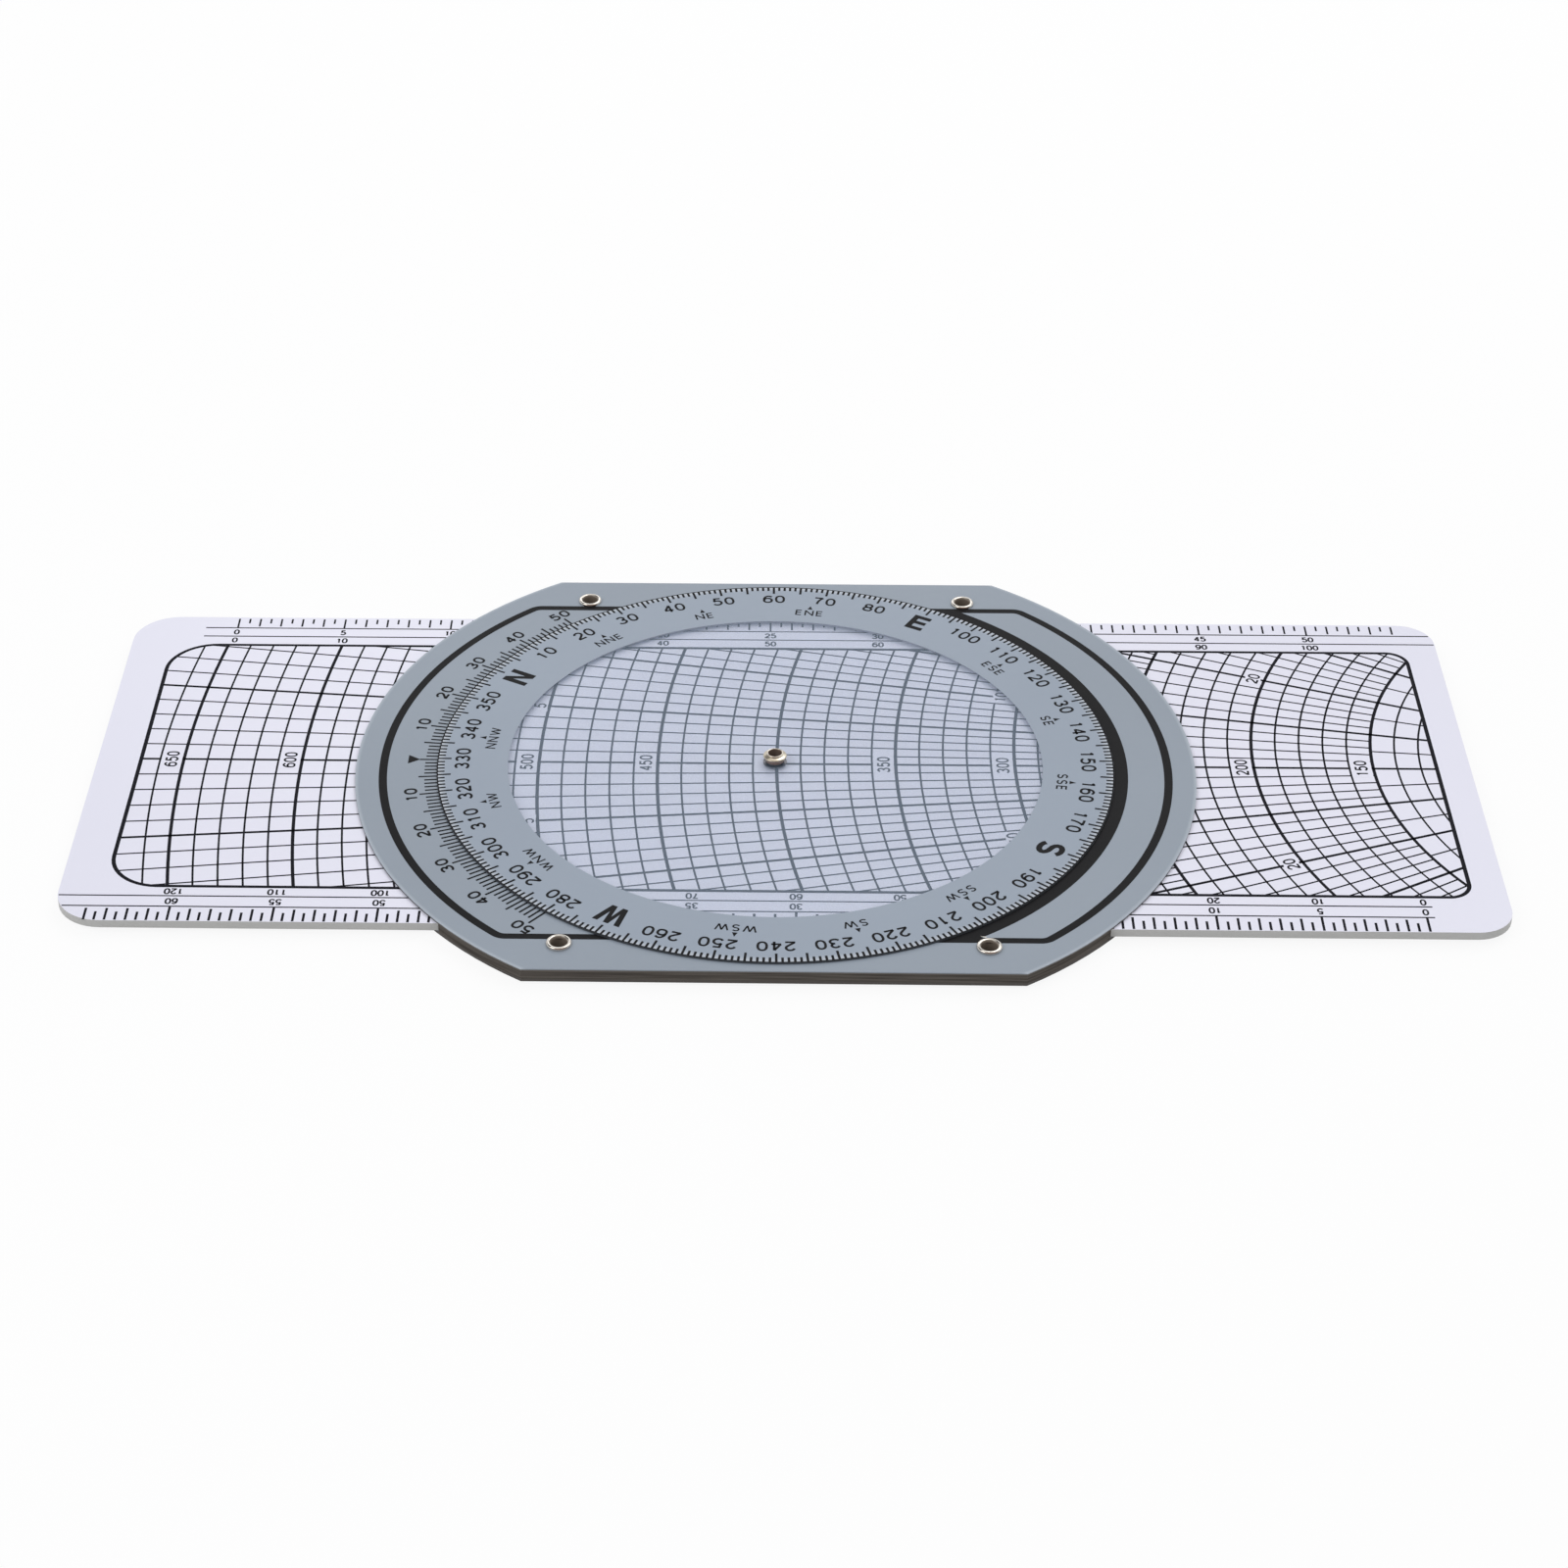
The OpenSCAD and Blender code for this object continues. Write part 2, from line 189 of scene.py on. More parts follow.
def edged(made, edge, face_depth=None, top=None):
    """Gives a sheet's cut edge its own colour, below face_depth from the top if that is set."""
    nodes, links = made.node_tree.nodes, made.node_tree.links
    skin = nodes["Principled BSDF"]
    face_colour = skin.inputs["Base Color"].links[0].from_socket
    lie = nodes.new("ShaderNodeNewGeometry")
    parts = nodes.new("ShaderNodeSeparateXYZ")
    flat = nodes.new("ShaderNodeMath")
    flat.operation = "ABSOLUTE"
    cut = nodes.new("ShaderNodeMath")
    cut.operation = "LESS_THAN"
    cut.inputs[1].default_value = 0.5
    choice = nodes.new("ShaderNodeMix")
    choice.data_type = "RGBA"
    choice.inputs["B"].default_value = (*edge, 1)
    links.new(lie.outputs["True Normal"], parts.inputs[0])
    links.new(parts.outputs["Z"], flat.inputs[0])
    links.new(flat.outputs[0], cut.inputs[0])
    factor = cut.outputs[0]
    if face_depth is not None:
        place = nodes.new("ShaderNodeTexCoord")
        height = nodes.new("ShaderNodeSeparateXYZ")
        low = nodes.new("ShaderNodeMath")
        low.operation = "LESS_THAN"
        low.inputs[1].default_value = (top - face_depth) * MM
        both = nodes.new("ShaderNodeMath")
        both.operation = "MULTIPLY"
        links.new(place.outputs["Object"], height.inputs[0])
        links.new(height.outputs["Z"], low.inputs[0])
        links.new(cut.outputs[0], both.inputs[0])
        links.new(low.outputs[0], both.inputs[1])
        factor = both.outputs[0]
    links.new(factor, choice.inputs["Factor"])
    links.new(face_colour, choice.inputs["A"])
    links.new(choice.outputs["Result"], skin.inputs["Base Color"])


def paled(made, start, end, highlight):
    """Paints a highlight near a round sheet's rim: fades its colour to a paler one between two radii in
    millimetres.
    """
    nodes, links = made.node_tree.nodes, made.node_tree.links
    skin = nodes["Principled BSDF"]
    inner = skin.inputs["Base Color"].links[0].from_socket
    place = nodes.new("ShaderNodeTexCoord")
    flat = nodes.new("ShaderNodeMapping")
    flat.inputs["Scale"].default_value = (1, 1, 0)
    far = nodes.new("ShaderNodeVectorMath")
    far.operation = "LENGTH"
    rise = nodes.new("ShaderNodeMapRange")
    rise.inputs["From Min"].default_value = start * MM
    rise.inputs["From Max"].default_value = end * MM
    blend = nodes.new("ShaderNodeMix")
    blend.data_type = "RGBA"
    blend.inputs["B"].default_value = (*highlight, 1)
    links.new(place.outputs["Object"], flat.inputs["Vector"])
    links.new(flat.outputs["Vector"], far.inputs[0])
    links.new(far.outputs["Value"], rise.inputs["Value"])
    links.new(rise.outputs["Result"], blend.inputs["Factor"])
    links.new(inner, blend.inputs["A"])
    links.new(blend.outputs["Result"], skin.inputs["Base Color"])


def pitted(made, middle, reach, blur, shade_colour, along):
    """Paints shade on what lies within reach of a place, alike in each quarter: darkens its colour and turns
    off its metal.

    The distance is measured along the axes that along names with a 1.
    """
    nodes, links = made.node_tree.nodes, made.node_tree.links
    skin = nodes["Principled BSDF"]
    metal = skin.inputs["Base Color"].links[0].from_socket
    place = nodes.new("ShaderNodeTexCoord")
    quarter = nodes.new("ShaderNodeVectorMath")
    quarter.operation = "ABSOLUTE"
    shift = nodes.new("ShaderNodeMapping")
    shift.inputs["Location"].default_value = [-c * MM for c in middle]
    shift.inputs["Scale"].default_value = along
    off = nodes.new("ShaderNodeVectorMath")
    off.operation = "LENGTH"
    fall = nodes.new("ShaderNodeMapRange")
    fall.inputs["From Min"].default_value = (reach + blur) * MM
    fall.inputs["From Max"].default_value = reach * MM
    blend = nodes.new("ShaderNodeMix")
    blend.data_type = "RGBA"
    blend.inputs["B"].default_value = (*shade_colour, 1)
    shine = nodes.new("ShaderNodeMapRange")
    shine.inputs["To Min"].default_value = 1
    shine.inputs["To Max"].default_value = 0
    links.new(place.outputs["Object"], quarter.inputs[0])
    links.new(quarter.outputs["Vector"], shift.inputs["Vector"])
    links.new(shift.outputs["Vector"], off.inputs[0])
    links.new(off.outputs["Value"], fall.inputs["Value"])
    links.new(fall.outputs["Result"], blend.inputs["Factor"])
    links.new(fall.outputs["Result"], shine.inputs["Value"])
    links.new(metal, blend.inputs["A"])
    links.new(blend.outputs["Result"], skin.inputs["Base Color"])
    links.new(shine.outputs["Result"], skin.inputs["Metallic"])


def dress(node, made):
    """Gives a carried-over solid its material."""
    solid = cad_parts[node]
    solid.data.materials.clear()
    solid.data.materials.append(made)


def closed_up(piece):
    """Turns every face of a finished film outwards."""
    bpy.ops.object.select_all(action="DESELECT")
    piece.select_set(True)
    bpy.context.view_layer.objects.active = piece
    bpy.ops.object.mode_set(mode="EDIT")
    bpy.ops.mesh.select_all(action="SELECT")
    bpy.ops.mesh.normals_make_consistent(inside=False)
    bpy.ops.object.mode_set(mode="OBJECT")


def laid(piece, height, body, ink, slot, under=False):
    """Lays a film of ink on a face, or under it, and lets it ride."""
    if under:
        piece.data.transform(Matrix.Rotation(pi, 4, "X"))
    piece.data.transform(Matrix.Translation((0, 0, height * MM)))
    piece.data.materials.append(ink)
    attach(piece, body)
    return piece


def drawn(name, strokes, pen, window=None):
    """Ink drawn along centre lines, given in millimetres, with one pen."""
    points, edges = [], []
    for stroke in strokes:
        first = len(points)
        closed = stroke[0] == stroke[-1] and len(stroke) > 2
        run = stroke[:-1] if closed else stroke
        points += [(x * MM, y * MM, 0) for x, y in run]
        edges += [(k, k + 1) for k in range(first, len(points) - 1)]
        if closed:
            edges.append((len(points) - 1, first))
    mesh = bpy.data.meshes.new(name)
    mesh.from_pydata(points, edges, [])
    piece = bpy.data.objects.new(name, mesh)
    bpy.context.collection.objects.link(piece)
    bpy.ops.object.select_all(action="DESELECT")
    piece.select_set(True)
    bpy.context.view_layer.objects.active = piece
    bpy.ops.object.mode_set(mode="EDIT")
    for (x, y), (across, along) in window or []:
        bpy.ops.mesh.select_all(action="SELECT")
        bpy.ops.mesh.bisect(plane_co=(x * MM, y * MM, 0), plane_no=(across, along, 0),
                            clear_outer=True)
    bpy.ops.mesh.select_all(action="SELECT")
    bpy.ops.mesh.extrude_region_move(TRANSFORM_OT_translate={"value": (0, 0, FILM * MM)})
    bpy.ops.mesh.select_all(action="SELECT")
    bpy.ops.mesh.normals_make_consistent(inside=False)
    bpy.ops.object.mode_set(mode="OBJECT")
    broad = piece.modifiers.new("pen", "SOLIDIFY")
    broad.thickness = pen * MM
    broad.offset = 0
    broad.use_even_offset = True
    bpy.ops.object.modifier_apply(modifier=broad.name)
    closed_up(piece)
    return piece


def filled(name, outlines):
    """Ink that fills closed outlines, given in millimetres."""
    points, faces = [], []
    for outline in outlines:
        faces.append(list(range(len(points), len(points) + len(outline))))
        points += [(x * MM, y * MM, 0) for x, y in outline]
    mesh = bpy.data.meshes.new(name)
    mesh.from_pydata(points, [], faces)
    piece = bpy.data.objects.new(name, mesh)
    bpy.context.collection.objects.link(piece)
    bpy.context.view_layer.objects.active = piece
    closed_up(piece)
    for face in piece.data.polygons:
        if face.normal.z < 0:
            face.flip()
    thick = piece.modifiers.new("film", "SOLIDIFY")
    thick.thickness = FILM * MM
    thick.offset = 1
    bpy.ops.object.modifier_apply(modifier=thick.name)
    closed_up(piece)
    return piece


def bow(x, y, wide, high, start, end, steps=10):
    """Points along part of an ellipse, from one angle to another."""
    return [(x + wide * cos(radians(start + (end - start) * k / steps)),
             y + high * sin(radians(start + (end - start) * k / steps)))
            for k in range(steps + 1)]


def oval(x, y, wide, high, steps=20):
    """A closed, slightly squared oval."""
    ring = []
    for k in range(steps):
        c, s = cos(2 * pi * k / steps), sin(2 * pi * k / steps)
        ring.append((x + wide * (abs(c) ** 0.86) * (1 if c > 0 else -1),
                     y + high * (abs(s) ** 0.86) * (1 if s > 0 else -1)))
    return ring + ring[:1]


def hoop(radius, sides=240):
    """A closed circle about the middle of the discs."""
    ring = [(radius * cos(2 * pi * k / sides), radius * sin(2 * pi * k / sides)) for k in range(sides)]
    return ring + ring[:1]


SIX = [oval(0.5, 0.32, 0.5, 0.32, 16), bow(0.6, 0.46, 0.6, 0.54, 178, 48, 7)]
FIGURES = {
    "0": [oval(0.5, 0.5, 0.5, 0.5)],
    "1": [[(0.6, 0), (0.6, 1)], [(0.28, 0.79), (0.6, 0.97)]],
    "2": [bow(0.5, 0.7, 0.47, 0.3, 168, -32, 9) + [(0.5, 0.3), (0.12, 0.1), (0.02, 0)],
          [(-0.06, 0), (1.06, 0)]],
    "3": [bow(0.46, 0.745, 0.44, 0.255, 158, -90, 10), bow(0.46, 0.26, 0.52, 0.26, 90, -158, 10)],
    "4": [[(0.72, -0.06), (0.72, 1)], [(0.72, 1), (0.0, 0.27)], [(-0.06, 0.25), (1.06, 0.25)]],
    "5": [[(0.92, 1), (0.2, 1), (0.1, 0.5)], bow(0.47, 0.32, 0.53, 0.33, 142, -152, 12)],
    "6": SIX,
    "7": [[(-0.04, 1), (1, 1)], bow(1.3, -0.1, 0.92, 1.15, 107, 175, 6)],
    "8": [oval(0.5, 0.76, 0.42, 0.24, 16), oval(0.5, 0.26, 0.5, 0.26, 16)],
    "9": [[(1 - x, 1 - y) for x, y in stroke] for stroke in SIX],
    "N": [[(0, -0.07), (0, 1.07)], [(1, -0.07), (1, 1.07)], [(0, 1), (1, 0)]],
    "E": [[(1, 1), (0, 1), (0, 0), (1, 0)], [(0, 0.52), (0.92, 0.52)]],
    "S": [bow(0.5, 0.745, 0.46, 0.255, 28, 270, 10) + bow(0.5, 0.245, 0.5, 0.245, 90, -152, 10)[1:]],
    "W": [[(0, 1.05), (0.25, 0)], [(0.25, 0), (0.5, 1)], [(0.5, 1), (0.75, 0)],
          [(0.75, 0), (1, 1.05)]],
}
BREADTH = {"N": 1.12, "E": 0.84, "S": 0.9, "W": 1.6}


def lettered(text, x, y, turn, cap, wide, gap, pen):
    """Centre lines of a row of figures, centred on a place, tops turned by an angle."""
    widths = [wide * BREADTH.get(sign, 1) for sign in text]
    at = -(sum(widths) + gap * (len(text) - 1)) / 2
    c, s = cos(radians(turn)), sin(radians(turn))
    strokes = []
    for sign, width in zip(text, widths):
        for stroke in FIGURES[sign]:
            placed = [(at + pen / 2 + u * (width - pen), (v - 0.5) * (cap - pen)) for u, v in stroke]
            strokes.append([(x + u * c - v * s, y + u * s + v * c) for u, v in placed])
        at += width + gap
    return strokes


def card_end(y, way):
    """Where a line along the card meets the card's end, with its rounded corners."""
    corner, edge = (7.5, CARD_LEFT) if way < 0 else (6, CARD_RIGHT)
    rise = max(0, abs(y) - CARD_EDGE + corner)
    return edge - way * (corner + 0.15 - sqrt(corner ** 2 - rise ** 2))


card_white = finish("card_white", (0.74, 0.74, 0.85), (0.77, 0.77, 0.88),
                    blotch=9, rough=0.34, grain=900, relief=0.008)
edged(card_white, (0.46, 0.46, 0.45))
dress("slide_card", card_white)
card_black = finish("card_black", (0.005, 0.005, 0.009), (0.009, 0.009, 0.014),
                    blotch=30, rough=0.5, grain=1500, relief=0.002, gloss=0.06)

# The grid's arcs of equal speed share one middle, ARC_X, and are KNOT apart per knot.
KNOT = 0.3888
ARC_X = 155.8
SLOWEST, FASTEST = 120, 680
GRID_LEFT, GRID_RIGHT, GRID_EDGE = -103.95, 107.8, 35.75
LEFT_CORNER, RIGHT_CORNER = 8.0, 3.5
BORDER_POINTS = 48

# The grid's border as points, and as planes that cut off what runs past it.
window = []
border = []
for k in range(BORDER_POINTS):
    a = 2 * pi * k / BORDER_POINTS
    corner = RIGHT_CORNER if cos(a) > 0 else LEFT_CORNER
    x = (GRID_RIGHT - corner if cos(a) > 0 else GRID_LEFT + corner) + corner * cos(a)
    y = (1 if sin(a) > 0 else -1) * (GRID_EDGE - corner) + corner * sin(a)
    border.append((x, y))
    if k % 2 == 0:
        window.append(((x, y), (cos(a), sin(a))))
# The first point of each quarter gives way to the straight side before it.
border[0:1] = [(GRID_RIGHT, -GRID_EDGE + RIGHT_CORNER), (GRID_RIGHT, GRID_EDGE - RIGHT_CORNER)]
border[13:14] = [(GRID_RIGHT - RIGHT_CORNER, GRID_EDGE), (GRID_LEFT + LEFT_CORNER, GRID_EDGE)]
border[26:27] = [(GRID_LEFT, GRID_EDGE - LEFT_CORNER), (GRID_LEFT, -GRID_EDGE + LEFT_CORNER)]
border[39:40] = [(GRID_LEFT + LEFT_CORNER, -GRID_EDGE), (GRID_RIGHT - RIGHT_CORNER, -GRID_EDGE)]
border.append(border[0])


def speed_arc(knots):
    """One arc of equal speed across the card."""
    radius = knots * KNOT
    reach = degrees(asin(min(0.999, (GRID_EDGE + 1) / radius)))
    if radius < GRID_EDGE + 6:
        reach = 60
    return bow(ARC_X, 0, radius, radius, 180 - reach, 180 + reach, 40)


def drift_line(angle, low, high):
    """One radial line of equal drift, between two speeds."""
    c, s = cos(radians(angle)), sin(radians(angle))
    return [(ARC_X - low * KNOT * c, low * KNOT * s), (ARC_X - high * KNOT * c, high * KNOT * s)]


# Towards the slow end the drift lines thin out, at two speeds.
SPARSE, SPARSER = 250, 150
BOLD_SPEEDS = range(150, 660, 50)
thin = [speed_arc(speed) for speed in range(SLOWEST, 670, 10) if speed % 50]
thin += [drift_line(a, SPARSE, FASTEST) for a in range(-24, 25) if a % 5]
thin += [drift_line(a, SPARSER, SPARSE) for a in range(-40, 41, 2) if a % 10]
thin += [drift_line(a, SLOWEST, SPARSER) for a in range(-45, 46, 5) if a % 10]
bold = [speed_arc(speed) for speed in BOLD_SPEEDS]
bold += [drift_line(a, SPARSE, FASTEST) for a in range(-20, 21, 5)]
bold += [drift_line(a, SLOWEST, SPARSE) for a in range(-40, 41, 10)]
laid(drawn("card_grid_thin", thin, 0.33, window), CARD_TOP, "slide", card_black, "card_white")
laid(drawn("card_grid_bold", bold, 0.55, window), CARD_TOP + 0.001, "slide", card_black, "card_white")
laid(drawn("card_grid_border", [border], 0.66), CARD_TOP + 0.002, "slide", card_black, "card_white")

# Each kind of figure is given by its height, breadth, gap and pen.
SPEED_FIGURE, ANGLE_FIGURE = (2.1, 1.35, 0.22, 0.3), (2.0, 1.3, 0.22, 0.25)
UNDER_GROMMET = 400
labels, patches = [], []
for speed in BOLD_SPEEDS:
    if speed != UNDER_GROMMET:
        labels += lettered(str(speed), ARC_X - (speed + 5.1) * KNOT, 0, 90, *SPEED_FIGURE)
    low, high = ARC_X - (speed + 10) * KNOT + 0.2, ARC_X - speed * KNOT - 0.3
    patches.append([(low, -2.6), (high, -2.6), (high, 2.6), (low, 2.6)])
for angle, speed in ((20, 205), (5, 504), (10, 308)):
    for side in (-1, 1):
        c, s = cos(radians(angle)), sin(radians(angle * side))
        x, y = ARC_X - speed * KNOT * c, speed * KNOT * s
        labels += lettered(str(angle), x, y, 90 - angle * side, *ANGLE_FIGURE)
        patches.append([(x - 1.25, y - 1.8), (x + 1.25, y - 1.8),
                        (x + 1.25, y + 1.8), (x - 1.25, y + 1.8)])
laid(filled("card_label_grounds", patches), CARD_TOP + 0.004, "slide", card_white, "card_white")
laid(drawn("card_labels", labels, 0.34), CARD_TOP + 0.008, "slide", card_black, "card_white")

# The two rulers: where each starts, its unit, the ends of its marks and its rows of figures.
MILE, SEA_MILE = 3.2187, 3.704
NEAR_ZERO, NEAR_EDGE, NEAR_FIFTH, NEAR_ONE, NEAR_HALF = 99.96, -44.75, -41.1, -41.7, -42.6
FAR_ZERO, FAR_EDGE, FAR_FIFTH, FAR_ONE, FAR_HALF = -93.51, 44.4, 41.37, 41.9, 42.9
NEAR_ROWS, FAR_ROWS = (-39.75, -37.15), (40.0, 37.35)
NEAR_RULE_END, FAR_RULE_END = 101.2, -99.05
RULER_FIGURE = (1.5, 0.92, 0.12, 0.19)
near_ticks, far_ticks, numbers = [], [], []
for n in range(65):
    x = NEAR_ZERO - MILE * n
    near_ticks.append([(x, NEAR_EDGE), (x, NEAR_FIFTH if n % 5 == 0 else NEAR_ONE)])
    if n < 64:
        near_ticks.append([(x - MILE / 2, NEAR_EDGE), (x - MILE / 2, NEAR_HALF)])
    if n % 5 == 0 and n <= 60:
        numbers += lettered(str(n), x, NEAR_ROWS[0], 180, *RULER_FIGURE)
        numbers += lettered(str(2 * n), x, NEAR_ROWS[1], 180, *RULER_FIGURE)
for n in range(55):
    x = FAR_ZERO + SEA_MILE * n
    far_ticks.append([(x, FAR_EDGE), (x, FAR_FIFTH if n % 5 == 0 else FAR_ONE)])
    if n < 54:
        far_ticks.append([(x + SEA_MILE / 2, FAR_EDGE), (x + SEA_MILE / 2, FAR_HALF)])
    if n % 5 == 0:
        numbers += lettered(str(n), x, FAR_ROWS[0], 0, *RULER_FIGURE)
        numbers += lettered(str(2 * n), x, FAR_ROWS[1], 0, *RULER_FIGURE)
rules = [[(card_end(y, -1), y), (NEAR_RULE_END, y)] for y in (NEAR_FIFTH, -38.33)]
rules += [[(FAR_RULE_END, y), (card_end(y, 1), y)] for y in (FAR_FIFTH, 38.61)]
laid(drawn("card_near_ticks", near_ticks, 0.4), CARD_TOP + 0.001, "slide", card_black, "card_white")
laid(drawn("card_far_ticks", far_ticks, 0.32), CARD_TOP + 0.001, "slide", card_black, "card_white")
laid(drawn("card_ruler_lines", rules, 0.3), CARD_TOP, "slide", card_black, "card_white")
laid(drawn("card_ruler_figures", numbers, 0.3), CARD_TOP, "slide", card_black, "card_white")

# The back: a square grid, the same two rulers, and distances counted from the middle.
SQUARE = 2.5
BACK_FIGURE = (1.6, 1.0, 0.2, 0.22)
BACK_INK = (CARD_UNDER, "slide", card_black, "card_white", True)
square_thin = [[(GRID_LEFT, y * SQUARE), (GRID_RIGHT, y * SQUARE)] for y in range(-14, 15) if y % 4]
square_thin += [[(CARD_MIDDLE + x * SQUARE, -GRID_EDGE), (CARD_MIDDLE + x * SQUARE, GRID_EDGE)]
                for x in range(-42, 43) if x % 4]
square_bold = [[(GRID_LEFT, y * 10), (GRID_RIGHT, y * 10)] for y in range(-3, 4)]
square_bold += [[(CARD_MIDDLE + x * 10, -GRID_EDGE), (CARD_MIDDLE + x * 10, GRID_EDGE)]
                for x in range(-10, 11)]
back_numbers, back_patches = [], []
for x in range(-10, 11, 2):
    at = CARD_MIDDLE + x * 10
    back_numbers += lettered(str(abs(x) * 10), at, 1.25, 0, *BACK_FIGURE)
    back_patches.append([(at - 2.2, 0.3), (at + 2.2, 0.3), (at + 2.2, 2.2), (at - 2.2, 2.2)])
laid(drawn("card_back_grid_thin", square_thin, 0.15, window), *BACK_INK)
laid(drawn("card_back_grid_bold", square_bold, 0.32, window), *BACK_INK)
laid(drawn("card_back_border", [border], 0.5), *BACK_INK)
laid(filled("card_back_grounds", back_patches), CARD_UNDER - 0.004,
     "slide", card_white, "card_white", True)
laid(drawn("card_back_figures", back_numbers, 0.22), CARD_UNDER - 0.008,
     "slide", card_black, "card_white", True)
laid(drawn("card_back_ticks", near_ticks + far_ticks, 0.32), *BACK_INK)
laid(drawn("card_back_lines", rules, 0.22), *BACK_INK)
laid(drawn("card_back_numbers", numbers, 0.19), *BACK_INK)


# The spacers.
# Two segments of brown fibre board between the plates. Only their sawn edge
# shows, with the layers of the board running along it.
board = finish("fibre_board", (0.045, 0.038, 0.033), (0.12, 0.107, 0.094),
               blotch=500, rough=0.8, grain=2500, relief=0.05, gloss=0.2)
nodes, links = board.node_tree.nodes, board.node_tree.links
layers = nodes.new("ShaderNodeMapping")
layers.inputs["Scale"].default_value = (0.15, 0.15, 6)
place = next(n for n in nodes if n.bl_idname == "ShaderNodeTexCoord")
links.new(place.outputs["Object"], layers.inputs["Vector"])
for noise in [n for n in nodes if n.bl_idname == "ShaderNodeTexNoise"]:
    links.new(layers.outputs["Vector"], noise.inputs["Vector"])
dress("far_spacer", board)
dress("near_spacer", board)


# The wind plate.
# The front sheet of the frame, blue-grey plastic with a satin skin, printed with
# the drift scale on the left, a black line all round and a black crescent on the right.
WIND_TOP = 2.9
PLATE_SHADES = (0.243, 0.285, 0.342), (0.268, 0.313, 0.373)
plate_grey = finish("plate_grey", *PLATE_SHADES, blotch=14, rough=0.46, grain=700, relief=0.02, gloss=0.6)
# Painted highlight along the plate's outer rim, where its top edge catches the light.
paled(plate_grey, 67.8, 68.4, (0.38, 0.43, 0.49))
edged(plate_grey, (0.09, 0.08, 0.07), 0.17, WIND_TOP)
dress("wind_plate", plate_grey)
plate_black = finish("plate_black", (0.008, 0.008, 0.009), (0.012, 0.012, 0.013),
                     blotch=20, rough=0.5, grain=1200, relief=0.002, gloss=0.08)
PLATE_INK = (WIND_TOP, "frame", plate_black, "plate_grey")

# The black line: its round part, its corners and its pen, then how far out its straight
# parts lie on each side and start along the card. The left half is printed a little nearer.
LINE_R, LINE_CORNER, LINE_PEN = 63.9, 2.5, 1.35
LINE_FAR, LINE_NEAR, LINE_LEFT, LEFT_SHIFT = 48.05, 48.65, 48.35, -0.3
LINE_START = 20


def quarter_line(straight):
    """A quarter of the black line, from its straight part round to the side."""
    y = straight - LINE_CORNER
    x = sqrt((LINE_R - LINE_CORNER) ** 2 - y ** 2)
    way = degrees(atan2(y, x))
    corner = bow(x, y, LINE_CORNER, LINE_CORNER, 90, way, 8)
    return [(LINE_START, straight)] + corner + bow(0, 0, LINE_R, LINE_R, way, 0, 40)[1:]


right_line = quarter_line(LINE_FAR) + [(x, -y) for x, y in quarter_line(LINE_NEAR)[-2::-1]]
left_line = quarter_line(LINE_LEFT) + [(x, -y) for x, y in quarter_line(LINE_LEFT)[-2::-1]]
left_line = [(-x, y + LEFT_SHIFT) for x, y in left_line]
laid(drawn("plate_line", [right_line, left_line], LINE_PEN), WIND_TOP + 0.002,
     "frame", plate_black, "plate_grey")

CRESCENT_R, CRESCENT_PEN = 55.6, 3.6
crescent = drawn("plate_crescent", [bow(0, 0, CRESCENT_R, CRESCENT_R, -75, 75, 90)], CRESCENT_PEN)
bpy.ops.object.mode_set(mode="EDIT")
for side, straight in ((1, LINE_FAR), (-1, LINE_NEAR)):
    bpy.ops.mesh.select_all(action="SELECT")
    bpy.ops.mesh.bisect(plane_co=(0, side * (straight + LINE_PEN / 2) * MM, 0), plane_no=(0, side, 0),
                        clear_outer=True, use_fill=True)
bpy.ops.object.mode_set(mode="OBJECT")
laid(crescent, *PLATE_INK)

DRIFT_X, DRIFT_Y, DRIFT_TURN = 0.45, -0.65, -0.41


def on_drift_scale(radius, angle):
    """A place on the drift scale, which is printed a little off the middle of the plate."""
    way = radians(180 + angle + DRIFT_TURN)
    return DRIFT_X + radius * cos(way), DRIFT_Y + radius * sin(way)


DRIFT_IN, DRIFT_FIFTH, DRIFT_ONE, DRIFT_FIGURES = 54.7, 58.55, 57.6, 59.9
DRIFT_FIGURE = (2.15, 1.7, 0.35, 0.38)
INDEX_TIP, INDEX_BASE, INDEX_HALF = 58.45, 60.45, 1.2
drift_ticks, drift_numbers = [], []
for k in range(-50, 51):
    reach = DRIFT_FIFTH if k % 5 == 0 else DRIFT_ONE
    drift_ticks.append([on_drift_scale(DRIFT_IN, k), on_drift_scale(reach, k)])
    if k % 10 == 0 and k:
        drift_numbers += lettered(str(abs(k)), *on_drift_scale(DRIFT_FIGURES, k), 90 + k, *DRIFT_FIGURE)
index = [on_drift_scale(INDEX_TIP, 0), on_drift_scale(INDEX_BASE, -INDEX_HALF),
         on_drift_scale(INDEX_BASE, INDEX_HALF)]
laid(drawn("plate_drift_ticks", drift_ticks, 0.38), *PLATE_INK)
laid(drawn("plate_drift_figures", drift_numbers, 0.42), *PLATE_INK)
laid(filled("plate_index", [index]), *PLATE_INK)


# The azimuth disc.
# A clear sheet, frosted in the middle, with the compass ring printed on a grey
# ground round it. It turns on a ring in the plate's opening, held by a thin retainer.
DISC_TOP = 3.22
NORTH = 150.4
disc_clear = finish("disc_clear", (0.37, 0.48, 0.63), (0.4, 0.51, 0.66),
                    blotch=12, rough=0.4, grain=300, relief=0.002)
# Its cut edge is painted almost black: a painted shadow line along the disc's edge.
edged(disc_clear, (0.06, 0.065, 0.075))
